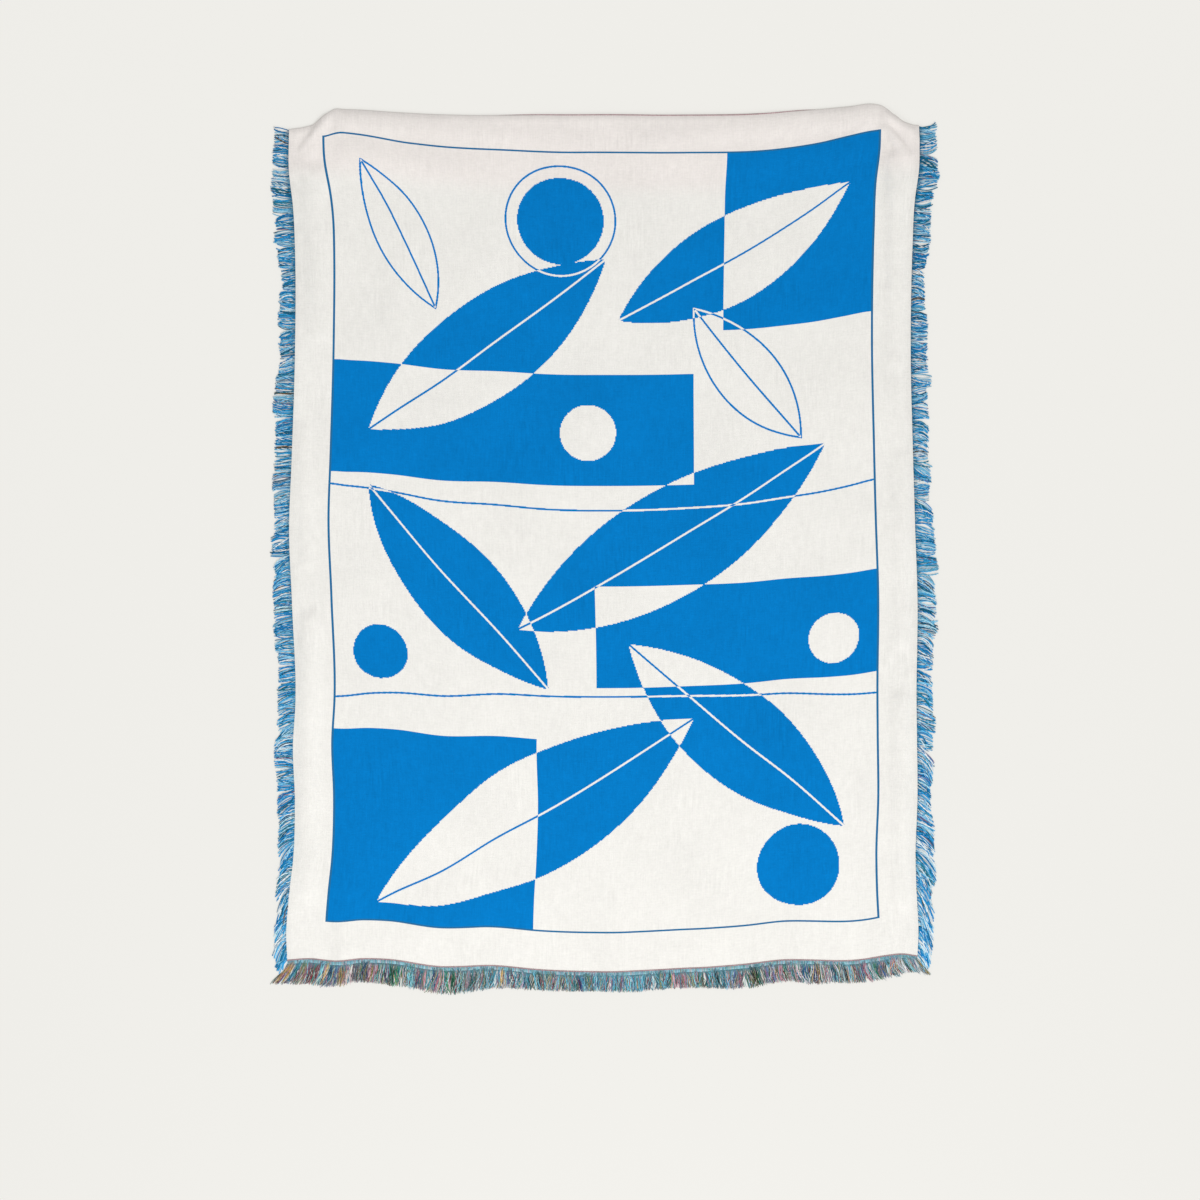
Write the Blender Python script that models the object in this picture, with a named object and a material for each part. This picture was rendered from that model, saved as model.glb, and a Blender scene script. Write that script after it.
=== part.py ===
"""A woven cotton throw, laid out face up on a level surface.

One woven panel with its top hem turned under, and a fringe along each of its four edges.
Metres, +Z up. +Y runs from the bottom hem to the top fold, and the underside rests at z = 0.
The origin is the middle of the whole throw, on the surface that it lies on.
"""

import math
import random
from collections import namedtuple

import bmesh
import bpy
import numpy as np
from mathutils import Vector

# The woven panel
HALF_WIDTH = 0.642
LENGTH = 1.751
THICKNESS = 0.002

# The top hem is turned under by this and more, and lies just below the panel
LEAST_TURN = 0.010
LAYER_GAP = 0.001
HEM_SHARES = (0.5, 1.0)
FOLD_ANGLES = (30.0, -30.0, -90.0)

# A fringe is a narrow band beside the panel's edge, with tapered strands beyond it
PIECE_GAP = 0.0003
BAND_THICKNESS = 0.002
SIDE_BAND = 0.005
END_BAND = 0.008
END_STRAND = 0.039
MIDDLE_OUT = 0.55
MIDDLE_ASIDE = 0.38
MIDDLE_WIDTH = 0.86
TIP_WIDTH = 0.60
STRAND_HEIGHTS = (0.0034, 0.0018)
HIDDEN_HEIGHTS = (0.0020, 0.0016)
ASIDE_SHAKE = 0.0028
LENGTH_SHAKE = 0.07
HIDDEN_LEAN = -0.6
SEEDS = {"left": 11, "right": 21, "bottom": 31, "top": 41}

# The panel is lifted over its turned hem and the fringe there, and slopes down past them
LIFT = THICKNESS + LAYER_GAP
LIFT_MARGIN = 0.020
LIFT_SLOPE = 0.060

# The steps across and along the panel, closer together near its sides and its top
FINE_SHARE = 0.80
FINE_COLUMNS = 10
WIDE_COLUMNS = 28
TALL_SHARE = 0.87
TALL_ROWS = 27
FINE_ROWS = 7

# How many strands leave each wide or tall step of a fringe
STRANDS_TALL = 3
STRANDS_WIDE = 2

# How far the side edges stand out from the half width, from the bottom hem (0) to the top (1)
Sway = namedtuple("Sway", "share left right")
SIDE_SWAY = (
    Sway(0.00, 0.010, 0.004),
    Sway(0.03, 0.012, 0.006),
    Sway(0.08, 0.006, 0.002),
    Sway(0.12, -0.002, 0.000),
    Sway(0.19, -0.006, 0.004),
    Sway(0.26, -0.002, 0.003),
    Sway(0.31, -0.007, 0.002),
    Sway(0.43, 0.000, 0.004),
    Sway(0.52, 0.006, -0.001),
    Sway(0.60, 0.001, -0.005),
    Sway(0.73, -0.006, -0.010),
    Sway(0.86, -0.006, -0.006),
    Sway(0.91, -0.002, -0.002),
    Sway(0.95, 0.006, 0.007),
    Sway(1.00, 0.006, 0.007),
)

# How far the bottom hem hangs below its mean line, from the left edge (-1) to the right (1)
Hem = namedtuple("Hem", "across drop")
BOTTOM_HEM = (
    Hem(-1.00, -0.005),
    Hem(-0.93, -0.008),
    Hem(-0.85, -0.0035),
    Hem(-0.76, -0.008),
    Hem(-0.68, -0.0065),
    Hem(-0.52, 0.008),
    Hem(-0.35, 0.006),
    Hem(-0.19, 0.015),
    Hem(0.02, 0.0185),
    Hem(0.25, 0.012),
    Hem(0.45, 0.0035),
    Hem(0.56, -0.005),
    Hem(0.83, -0.007),
    Hem(0.90, -0.015),
    Hem(0.96, -0.0175),
    Hem(1.00, -0.0135),
)

# How far the top fold rises above its mean line, and how much more cloth is turned under there
Top = namedtuple("Top", "across rise turned")
TOP_FOLD = (
    Top(-1.00, -0.037, 0.068),
    Top(-0.95, -0.032, 0.063),
    Top(-0.92, -0.026, 0.056),
    Top(-0.885, -0.008, 0.038),
    Top(-0.86, 0.004, 0.027),
    Top(-0.82, 0.004, 0.024),
    Top(-0.65, -0.0025, 0.018),
    Top(-0.50, -0.007, 0.012),
    Top(-0.30, -0.008, 0.006),
    Top(-0.14, -0.007, 0.001),
    Top(0.00, -0.006, 0.000),
    Top(0.25, -0.007, 0.000),
    Top(0.55, -0.002, 0.001),
    Top(0.68, 0.004, 0.008),
    Top(0.78, 0.010, 0.018),
    Top(0.86, 0.015, 0.024),
    Top(0.885, 0.011, 0.029),
    Top(0.92, -0.009, 0.046),
    Top(0.95, -0.023, 0.060),
    Top(1.00, -0.029, 0.066),
)

# How far the side fringes reach out, and how steeply their strands point down, in degrees
Reach = namedtuple("Reach", "share left right left_lean right_lean")
SIDE_REACH = (
    Reach(0.00, 0.024, 0.024, 50, 55),
    Reach(0.03, 0.028, 0.032, 52, 56),
    Reach(0.10, 0.033, 0.037, 53, 53),
    Reach(0.14, 0.033, 0.042, 44, 48),
    Reach(0.17, 0.038, 0.035, 30, 42),
    Reach(0.19, 0.039, 0.030, 24, 38),
    Reach(0.24, 0.040, 0.036, 18, 34),
    Reach(0.31, 0.037, 0.039, 14, 26),
    Reach(0.36, 0.039, 0.033, 12, 22),
    Reach(0.41, 0.042, 0.044, 14, 16),
    Reach(0.52, 0.036, 0.040, 14, 10),
    Reach(0.61, 0.040, 0.039, 8, 8),
    Reach(0.66, 0.043, 0.042, 5, 5),
    Reach(0.76, 0.036, 0.037, 4, 3),
    Reach(0.83, 0.036, 0.030, 3, 2),
    Reach(0.87, 0.041, 0.038, 3, 2),
    Reach(0.92, 0.041, 0.043, 2, 0),
    Reach(1.00, 0.036, 0.037, 0, -3),
)

# How far the strands of an end lean from straight down the page to the right, in degrees
Lean = namedtuple("Lean", "across angle")
END_LEAN = (
    Lean(-1.00, -38),
    Lean(-0.92, -24),
    Lean(-0.80, -12),
    Lean(-0.50, -6),
    Lean(0.00, 0),
    Lean(0.50, 10),
    Lean(0.80, 15),
    Lean(0.93, 25),
    Lean(1.00, 38),
)

# How long the strands of the bottom fringe are beyond their band, from left to right
EndReach = namedtuple("EndReach", "across length")
END_REACH = (
    EndReach(-1.00, 0.041),
    EndReach(-0.92, 0.044),
    EndReach(-0.86, 0.045),
    EndReach(-0.75, 0.040),
    EndReach(-0.67, 0.044),
    EndReach(-0.60, 0.043),
    EndReach(-0.50, 0.047),
    EndReach(-0.42, 0.046),
    EndReach(-0.32, 0.037),
    EndReach(-0.20, 0.034),
    EndReach(0.02, 0.033),
    EndReach(0.10, 0.035),
    EndReach(0.18, 0.032),
    EndReach(0.30, 0.033),
    EndReach(0.44, 0.041),
    EndReach(0.54, 0.036),
    EndReach(0.60, 0.037),
    EndReach(0.65, 0.041),
    EndReach(0.72, 0.038),
    EndReach(0.85, 0.037),
    EndReach(0.92, 0.033),
    EndReach(0.97, 0.029),
    EndReach(1.00, 0.032),
)

# Soft folds that the cloth keeps where it lies: each has a crest from one place to another
Fold = namedtuple("Fold", "x0 y0 x1 y1 half_width height0 height1")
FOLDS = (
    Fold(-0.600, 0.746, -0.584, 0.426, 0.036, 0.0070, 0.0040),
    Fold(-0.618, 0.220, -0.610, -0.047, 0.026, 0.0030, 0.0040),
    Fold(-0.604, -0.171, -0.610, -0.727, 0.032, 0.0070, 0.0050),
    Fold(0.600, 0.777, 0.602, 0.365, 0.030, 0.0070, 0.0040),
    Fold(0.612, 0.159, 0.612, -0.212, 0.026, 0.0030, 0.0040),
    Fold(0.610, -0.336, 0.614, -0.748, 0.028, 0.0060, 0.0040),
    Fold(0.586, 0.863, 0.622, 0.777, 0.024, 0.0060, 0.0030),
    Fold(-0.576, 0.859, -0.622, 0.764, 0.024, 0.0050, 0.0030),
    Fold(-0.532, 0.855, -0.028, 0.814, 0.030, 0.0040, 0.0015),
    Fold(0.545, 0.863, 0.075, 0.818, 0.030, 0.0040, 0.0015),
    Fold(-0.522, 0.797, -0.090, 0.715, 0.040, 0.0030, 0.0000),
    Fold(0.528, 0.807, 0.158, 0.725, 0.040, 0.0030, 0.0000),
    Fold(-0.537, -0.880, -0.522, -0.665, 0.034, 0.0050, 0.0000),
    Fold(-0.275, -0.890, -0.296, -0.542, 0.044, 0.0040, 0.0000),
    Fold(0.018, -0.900, 0.030, -0.645, 0.050, 0.0040, 0.0000),
    Fold(0.211, -0.890, 0.178, -0.645, 0.044, 0.0040, 0.0000),
    Fold(0.405, -0.880, 0.417, -0.645, 0.044, 0.0040, 0.0000),
    Fold(0.575, -0.870, 0.545, -0.707, 0.030, 0.0050, 0.0000),
    Fold(-0.337, 0.138, -0.306, -0.212, 0.044, 0.0030, 0.0010),
    Fold(-0.430, 0.550, -0.415, 0.282, 0.044, 0.0025, 0.0010),
    Fold(-0.059, -0.047, -0.007, -0.264, 0.044, 0.0020, 0.0010),
    Fold(0.333, -0.315, 0.347, -0.542, 0.044, 0.0025, 0.0010),
    Fold(0.199, 0.591, 0.178, 0.303, 0.044, 0.0025, 0.0010),
)

WHITE_COTTON = (0.87, 0.86, 0.82, 1.0)
BLUE_YARN = (0.07, 0.33, 0.66, 1.0)
MIXED_YARN = (0.16, 0.22, 0.22, 1.0)
COTTON_ROUGHNESS = 0.9
SHARP_EDGE = 40.0


def read(table, column, at):
    """A table's column between its rows, on a smooth curve through them."""
    places = np.array([row[0] for row in table])
    values = np.array([getattr(row, column) for row in table], float)
    slopes = np.gradient(values, places)
    at = min(max(at, places[0]), places[-1])
    k = min(max(np.searchsorted(places, at) - 1, 0), len(places) - 2)
    span = places[k + 1] - places[k]
    t = (at - places[k]) / span
    start = (1 + 2 * t) * (1 - t) ** 2 * values[k] + t * (1 - t) ** 2 * span * slopes[k]
    end = t**2 * (3 - 2 * t) * values[k + 1] - t**2 * (1 - t) * span * slopes[k + 1]
    return start + end


def ease(t):
    """A smooth step from 0 to 1."""
    t = min(max(t, 0), 1)
    return t * t * (3 - 2 * t)


def fold_y(across):
    """The top fold's place along the throw."""
    return LENGTH / 2 + read(TOP_FOLD, "rise", across)


def turn_depth(across):
    """How far the hem reaches back under the panel."""
    return LEAST_TURN + read(TOP_FOLD, "turned", across)


def soft_folds(x, y):
    """The height of the soft folds, which is nothing at all between them."""
    height = 0.0
    for fold in FOLDS:
        run_x, run_y = fold.x1 - fold.x0, fold.y1 - fold.y0
        along = ((x - fold.x0) * run_x + (y - fold.y0) * run_y) / (run_x**2 + run_y**2)
        along = min(max(along, 0), 1)
        away = math.hypot(x - fold.x0 - along * run_x, y - fold.y0 - along * run_y)
        crest = fold.height0 + (fold.height1 - fold.height0) * along
        height += crest * max(0, 1 - (away / fold.half_width) ** 2) ** 2
    return height


def lift_over_hem(across, y):
    """How far the panel is raised by the hem and the fringe beneath it."""
    covered = turn_depth(across) + END_BAND + END_STRAND + LIFT_MARGIN
    slope_start = fold_y(across) - covered - LIFT_SLOPE
    return LIFT * ease((y - slope_start) / LIFT_SLOPE)


def panel_point(across, share):
    """A place on the panel's underside, across from -1 to 1 and along from 0 to 1."""
    left = -HALF_WIDTH - read(SIDE_SWAY, "left", share)
    right = HALF_WIDTH + read(SIDE_SWAY, "right", share)
    x = left + (right - left) * (across + 1) / 2
    low = -LENGTH / 2 - read(BOTTOM_HEM, "drop", across)
    y = low + (fold_y(across) - low) * share
    return Vector((x, y, soft_folds(x, y) + lift_over_hem(across, y)))


def column_places():
    """Places across the panel."""
    fine = np.linspace(FINE_SHARE, 1, FINE_COLUMNS + 1)
    wide = np.linspace(-FINE_SHARE, FINE_SHARE, WIDE_COLUMNS + 1)
    return [float(place) for place in (*-fine[:0:-1], *wide, *fine[1:])]


def row_places():
    """Places along the panel."""
    tall = np.linspace(0, TALL_SHARE, TALL_ROWS + 1)
    fine = np.linspace(TALL_SHARE, 1, FINE_ROWS + 1)
    return [float(place) for place in (*tall, *fine[1:])]


def panel_vertex(across, row, rows, upper):
    """A vertex of the panel: on its length, round its top fold, or on its turned hem."""
    if row < len(rows):
        return panel_point(across, rows[row]) + Vector((0, 0, THICKNESS * upper))
    x, y, z = panel_point(across, rows[-1])
    beyond = row - len(rows)
    if beyond < len(FOLD_ANGLES):
        angle = math.radians(FOLD_ANGLES[beyond])
        radius = (z - THICKNESS) / 2 + THICKNESS * upper
        middle = (z + THICKNESS) / 2
        return Vector((x, y + radius * math.cos(angle), middle + radius * math.sin(angle)))
    back = HEM_SHARES[beyond - len(FOLD_ANGLES)] * turn_depth(across)
    return Vector((x, y - back, THICKNESS * (1 - upper)))


def grid(columns, rows):
    """A closed slab of columns by rows, one high, with its vertices on whole numbers."""
    mesh = bmesh.new()
    bmesh.ops.create_grid(mesh, x_segments=columns, y_segments=rows, size=0.5)
    made = bmesh.ops.extrude_face_region(mesh, geom=mesh.faces[:])
    for item in made["geom"]:
        if isinstance(item, bmesh.types.BMVert):
            item.co.z = 1
    for vertex in mesh.verts:
        vertex.co.x = round((vertex.co.x + 0.5) * columns)
        vertex.co.y = round((vertex.co.y + 0.5) * rows)
    return mesh


def panel_mesh():
    """The woven panel: its length, its rounded top fold and its turned-under hem."""
    across, rows = column_places(), row_places()
    row_count = len(rows) - 1 + len(FOLD_ANGLES) + len(HEM_SHARES)
    mesh = grid(len(across) - 1, row_count)
    for vertex in mesh.verts:
        column, row, upper = (round(value) for value in vertex.co)
        vertex.co = panel_vertex(across[column], row, rows, upper)
    return mesh


def divided(points, parts):
    """A row of points with each step divided into as many equal parts as parts says."""
    found = [points[0]]
    for start, end, count in zip(points, points[1:], parts):
        found += [start + (end - start) * (k / count) for k in range(1, count + 1)]
    return found


def shaken(seed, count, amount):
    """Small steady variations."""
    source = random.Random(seed)
    return [source.uniform(-amount, amount) for _ in range(count)]


def strand_faces(mesh):
    """Grows a strand in two tapering lengths from each outer face of a band."""
    faces = [face for face in mesh.faces if all(v.co.y == 1 for v in face.verts)]
    for level, width in ((2, MIDDLE_WIDTH), (3, TIP_WIDTH)):
        faces = bmesh.ops.extrude_discrete_faces(mesh, faces=faces)["faces"]
        for face in faces:
            middle = math.floor(face.calc_center_median().x) + 0.5
            for vertex in face.verts:
                side = math.copysign(width / 2, vertex.co.x - middle)
                vertex.co.x, vertex.co.y = middle + side, level


def fringe_mesh(rim, outward, aside, band, runs, heights, seed):
    """A band along the rim, with a strand from each step of it that lies on the surface.

    The strands leave the rim outward. Runs says, for each of the rim's points, how far out
    and how far aside the strands there reach.
    """
    mesh = grid(len(rim) - 1, 1)
    strand_faces(mesh)
    longer = shaken(seed, len(rim), LENGTH_SHAKE)
    for vertex in mesh.verts:
        place, level, upper = vertex.co.x, round(vertex.co.y), round(vertex.co.z)
        if level <= 1:
            point = rim[round(place)] + outward * (PIECE_GAP + band * level)
            point.z += BAND_THICKNESS * upper
        else:
            strand = math.floor(place)
            root = rim[strand].lerp(rim[strand + 1], place - strand)
            run = runs[strand].lerp(runs[strand + 1], place - strand) * (1 + longer[strand])
            if level == 2:
                run = Vector((run.x * MIDDLE_OUT, run.y * MIDDLE_ASIDE))
            point = root + outward * (PIECE_GAP + band + run.x) + aside * run.y
            point.z = heights[level - 2] * upper
        vertex.co = point
    return mesh


def side_fringe(side):
    """The fringe of a side edge, whose strands point down towards the bottom hem."""
    sign = -1.0 if side == "left" else 1.0
    parts = [STRANDS_TALL] * TALL_ROWS + [1] * FINE_ROWS
    rim = divided([panel_point(sign, share) for share in row_places()], parts)
    runs = []
    shares = divided(row_places(), parts)
    for share, shake in zip(shares, shaken(SEEDS[side], len(shares), ASIDE_SHAKE)):
        out = read(SIDE_REACH, side, share) - SIDE_BAND
        lean = math.radians(read(SIDE_REACH, side + "_lean", share))
        runs.append(Vector((out, out * math.tan(lean) + shake)))
    outward, down = Vector((sign, 0, 0)), Vector((0, -1, 0))
    return fringe_mesh(rim, outward, down, SIDE_BAND, runs, STRAND_HEIGHTS, SEEDS[side] + 1)


def end_fringe(rim, places, lengths, lean_share, heights, seed):
    """A fringe of warp ends, whose strands point down the page from their band."""
    runs = []
    for place, length, shake in zip(places, lengths, shaken(seed, len(places), ASIDE_SHAKE)):
        lean = math.radians(read(END_LEAN, "angle", place) * lean_share)
        runs.append(Vector((length, length * math.tan(lean) + shake)))
    down, right = Vector((0, -1, 0)), Vector((1, 0, 0))
    return fringe_mesh(rim, down, right, END_BAND, runs, heights, seed + 1)


def bottom_fringe():
    """The fringe beyond the bottom hem."""
    parts = [1] * FINE_COLUMNS + [STRANDS_WIDE] * WIDE_COLUMNS + [1] * FINE_COLUMNS
    rim = divided([panel_point(place, 0.0) for place in column_places()], parts)
    places = divided(column_places(), parts)
    lengths = [read(END_REACH, "length", place) for place in places]
    return end_fringe(rim, places, lengths, 1.0, STRAND_HEIGHTS, SEEDS["bottom"])


def hidden_fringe():
    """The fringe of the turned-under hem, flat on the surface below the panel."""
    places = column_places()
    rim = []
    for place in places:
        x, y, _ = panel_point(place, 1.0)
        rim.append(Vector((x, y - turn_depth(place), 0)))
    lengths = [END_STRAND] * len(places)
    return end_fringe(rim, places, lengths, HIDDEN_LEAN, HIDDEN_HEIGHTS, SEEDS["top"])


def yarn_material(name, colour):
    """A matt cotton finish."""
    material = bpy.data.materials.new(name)
    material.use_nodes = True
    shader = material.node_tree.nodes["Principled BSDF"]
    shader.inputs["Base Color"].default_value = colour
    shader.inputs["Roughness"].default_value = COTTON_ROUGHNESS
    shader.inputs["Metallic"].default_value = 0.0
    return material


def add_piece(name, mesh, colour, origin, collection):
    """Makes a mesh into a named object with its own finish."""
    mesh.normal_update()
    bmesh.ops.recalc_face_normals(mesh, faces=mesh.faces)
    data = bpy.data.meshes.new(name)
    mesh.to_mesh(data)
    mesh.free()
    data.shade_smooth()
    data.set_sharp_from_angle(angle=math.radians(SHARP_EDGE))
    data.materials.append(yarn_material(name, colour))
    piece = bpy.data.objects.new(name, data)
    piece.parent = origin
    collection.objects.link(piece)
    return piece


def centre(origin, pieces):
    """Moves the pieces together so that their middle is at the world's origin."""
    points = [vertex.co for piece in pieces for vertex in piece.data.vertices]
    for axis in (0, 1):
        places = [point[axis] for point in points]
        origin.location[axis] = -(min(places) + max(places)) / 2


def main():
    for thing in list(bpy.data.objects):
        bpy.data.objects.remove(thing)
    collection = bpy.data.collections.new("throw_blanket")
    bpy.context.scene.collection.children.link(collection)
    origin = bpy.data.objects.new("throw_middle", None)
    collection.objects.link(origin)
    pieces = [
        add_piece("throw_cloth", panel_mesh(), WHITE_COTTON, origin, collection),
        add_piece("fringe_left", side_fringe("left"), BLUE_YARN, origin, collection),
        add_piece("fringe_right", side_fringe("right"), BLUE_YARN, origin, collection),
        add_piece("fringe_bottom", bottom_fringe(), MIXED_YARN, origin, collection),
        add_piece("fringe_top", hidden_fringe(), MIXED_YARN, origin, collection),
    ]
    centre(origin, pieces)
    bpy.context.view_layer.update()


main()
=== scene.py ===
"""The looks of a woven cotton throw, laid out face up on a pale floor and seen from above.

The cloth is a fine sheet on its solid's form, with a woven two-colour design of its own. Its
fringes are real yarns: two-ply weft yarns along the sides and warp ends in many colours along
the hems. Everything is in metres, in the part's own frame, with +Y towards the top fold.
"""

import math
from collections import namedtuple

import bmesh
import bpy
import numpy as np
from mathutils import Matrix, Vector


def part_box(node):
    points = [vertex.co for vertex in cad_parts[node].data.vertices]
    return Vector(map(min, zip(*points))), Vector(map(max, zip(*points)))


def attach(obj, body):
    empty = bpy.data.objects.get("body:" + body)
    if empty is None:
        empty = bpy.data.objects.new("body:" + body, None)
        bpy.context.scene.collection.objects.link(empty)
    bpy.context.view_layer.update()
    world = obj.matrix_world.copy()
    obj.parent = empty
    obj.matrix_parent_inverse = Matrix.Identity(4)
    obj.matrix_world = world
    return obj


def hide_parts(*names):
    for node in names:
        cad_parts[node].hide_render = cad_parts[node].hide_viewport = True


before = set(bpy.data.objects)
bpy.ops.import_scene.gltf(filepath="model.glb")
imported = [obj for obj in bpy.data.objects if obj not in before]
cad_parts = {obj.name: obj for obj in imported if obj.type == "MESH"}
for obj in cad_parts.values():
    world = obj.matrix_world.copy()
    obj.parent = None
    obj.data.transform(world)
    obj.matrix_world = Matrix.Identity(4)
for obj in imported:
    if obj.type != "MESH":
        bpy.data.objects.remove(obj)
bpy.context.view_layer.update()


def named_rows(columns, *rows):
    """A table whose columns have names."""
    row_kind = namedtuple("Row", columns)
    return [row_kind(*row) for row in rows]


# The woven panel and its turned-under top hem
HALF_WIDTH = 0.642
LENGTH = 1.751
FLAT_LENGTH = 1.790
THICKNESS = 0.002
LEAST_TURN = 0.010
LAYER_GAP = 0.001
FOLD_STEPS = 7
HEM_STEPS = 6
RIPPLE = 0.0005

# The fringes
PIECE_GAP = 0.0003
END_BAND = 0.008
END_STRAND = 0.039
BULGE_OUT = 0.20
LAG_ASIDE = 0.48

# The panel is lifted over its turned hem and the fringe there, and slopes down past them
LIFT = THICKNESS + LAYER_GAP
LIFT_MARGIN = 0.020
LIFT_SLOPE = 0.060

# The fine mesh of the panel
COLUMNS = 172
ROWS = 236
DENSER_SIDES = 0.25
DENSER_TOP = 0.35

# How far the side edges stand out from the half width, from the bottom hem (0) to the top (1)
SIDE_SWAY = named_rows(
    "share left right",
    (0.00, 0.010, 0.004),
    (0.03, 0.012, 0.006),
    (0.08, 0.006, 0.002),
    (0.12, -0.002, 0.000),
    (0.19, -0.006, 0.004),
    (0.26, -0.002, 0.003),
    (0.31, -0.007, 0.002),
    (0.43, 0.000, 0.004),
    (0.52, 0.006, -0.001),
    (0.60, 0.001, -0.005),
    (0.73, -0.006, -0.010),
    (0.86, -0.006, -0.006),
    (0.91, -0.002, -0.002),
    (0.95, 0.006, 0.007),
    (1.00, 0.006, 0.007),
)

# How far the bottom hem hangs below its mean line, from the left edge (-1) to the right (1)
BOTTOM_HEM = named_rows(
    "across drop",
    (-1.00, -0.005),
    (-0.93, -0.008),
    (-0.85, -0.0035),
    (-0.76, -0.008),
    (-0.68, -0.0065),
    (-0.52, 0.008),
    (-0.35, 0.006),
    (-0.19, 0.015),
    (0.02, 0.0185),
    (0.25, 0.012),
    (0.45, 0.0035),
    (0.56, -0.005),
    (0.83, -0.007),
    (0.90, -0.015),
    (0.96, -0.0175),
    (1.00, -0.0135),
)

# How far the top fold rises above its mean line, and how much more cloth is turned under there
TOP_FOLD = named_rows(
    "across rise turned",
    (-1.00, -0.037, 0.068),
    (-0.95, -0.032, 0.063),
    (-0.92, -0.026, 0.056),
    (-0.885, -0.008, 0.038),
    (-0.86, 0.004, 0.027),
    (-0.82, 0.004, 0.024),
    (-0.65, -0.0025, 0.018),
    (-0.50, -0.007, 0.012),
    (-0.30, -0.008, 0.006),
    (-0.14, -0.007, 0.001),
    (0.00, -0.006, 0.000),
    (0.25, -0.007, 0.000),
    (0.55, -0.002, 0.001),
    (0.68, 0.004, 0.008),
    (0.78, 0.010, 0.018),
    (0.86, 0.015, 0.024),
    (0.885, 0.011, 0.029),
    (0.92, -0.009, 0.046),
    (0.95, -0.023, 0.060),
    (1.00, -0.029, 0.066),
)

# How far the side fringes reach out, and how steeply their strands point down, in degrees
SIDE_REACH = named_rows(
    "share left right left_lean right_lean",
    (0.00, 0.024, 0.024, 50, 55),
    (0.03, 0.028, 0.032, 52, 56),
    (0.10, 0.033, 0.037, 53, 53),
    (0.14, 0.033, 0.042, 44, 48),
    (0.17, 0.038, 0.035, 30, 42),
    (0.19, 0.039, 0.030, 24, 38),
    (0.24, 0.040, 0.036, 18, 34),
    (0.31, 0.037, 0.039, 14, 26),
    (0.36, 0.039, 0.033, 12, 22),
    (0.41, 0.042, 0.044, 14, 16),
    (0.52, 0.036, 0.040, 14, 10),
    (0.61, 0.040, 0.039, 8, 8),
    (0.66, 0.043, 0.042, 5, 5),
    (0.76, 0.036, 0.037, 4, 3),
    (0.83, 0.036, 0.030, 3, 2),
    (0.87, 0.041, 0.038, 3, 2),
    (0.92, 0.041, 0.043, 2, 0),
    (1.00, 0.036, 0.037, 0, -3),
)

# How far the strands of an end lean from straight down the page to the right, in degrees
END_LEAN = named_rows(
    "across angle",
    (-1.00, -38),
    (-0.92, -24),
    (-0.80, -12),
    (-0.50, -6),
    (0.00, 0),
    (0.50, 10),
    (0.80, 15),
    (0.93, 25),
    (1.00, 38),
)

# How long the strands of the bottom fringe are beyond their band, from left to right
END_REACH = named_rows(
    "across length",
    (-1.00, 0.041),
    (-0.92, 0.044),
    (-0.86, 0.045),
    (-0.75, 0.040),
    (-0.67, 0.044),
    (-0.60, 0.043),
    (-0.50, 0.047),
    (-0.42, 0.046),
    (-0.32, 0.037),
    (-0.20, 0.034),
    (0.02, 0.033),
    (0.10, 0.035),
    (0.18, 0.032),
    (0.30, 0.033),
    (0.44, 0.041),
    (0.54, 0.036),
    (0.60, 0.037),
    (0.65, 0.041),
    (0.72, 0.038),
    (0.85, 0.037),
    (0.92, 0.033),
    (0.97, 0.029),
    (1.00, 0.032),
)

# Soft folds that the cloth keeps where it lies: each has a crest from one place to another
FOLD = "x0 y0 x1 y1 half_width height0 height1"
FOLDS = named_rows(
    FOLD,
    (-0.600, 0.746, -0.584, 0.426, 0.036, 0.0070, 0.0040),
    (-0.618, 0.220, -0.610, -0.047, 0.026, 0.0030, 0.0040),
    (-0.604, -0.171, -0.610, -0.727, 0.032, 0.0070, 0.0050),
    (0.600, 0.777, 0.602, 0.365, 0.030, 0.0070, 0.0040),
    (0.612, 0.159, 0.612, -0.212, 0.026, 0.0030, 0.0040),
    (0.610, -0.336, 0.614, -0.748, 0.028, 0.0060, 0.0040),
    (0.586, 0.863, 0.622, 0.777, 0.024, 0.0060, 0.0030),
    (-0.576, 0.859, -0.622, 0.764, 0.024, 0.0050, 0.0030),
    (-0.532, 0.855, -0.028, 0.814, 0.030, 0.0040, 0.0015),
    (0.545, 0.863, 0.075, 0.818, 0.030, 0.0040, 0.0015),
    (-0.522, 0.797, -0.090, 0.715, 0.040, 0.0030, 0.0000),
    (0.528, 0.807, 0.158, 0.725, 0.040, 0.0030, 0.0000),
    (-0.537, -0.880, -0.522, -0.665, 0.034, 0.0050, 0.0000),
    (-0.275, -0.890, -0.296, -0.542, 0.044, 0.0040, 0.0000),
    (0.018, -0.900, 0.030, -0.645, 0.050, 0.0040, 0.0000),
    (0.211, -0.890, 0.178, -0.645, 0.044, 0.0040, 0.0000),
    (0.405, -0.880, 0.417, -0.645, 0.044, 0.0040, 0.0000),
    (0.575, -0.870, 0.545, -0.707, 0.030, 0.0050, 0.0000),
    (-0.337, 0.138, -0.306, -0.212, 0.044, 0.0030, 0.0010),
    (-0.430, 0.550, -0.415, 0.282, 0.044, 0.0025, 0.0010),
    (-0.059, -0.047, -0.007, -0.264, 0.044, 0.0020, 0.0010),
    (0.333, -0.315, 0.347, -0.542, 0.044, 0.0025, 0.0010),
    (0.199, 0.591, 0.178, 0.303, 0.044, 0.0025, 0.0010),
)

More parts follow.
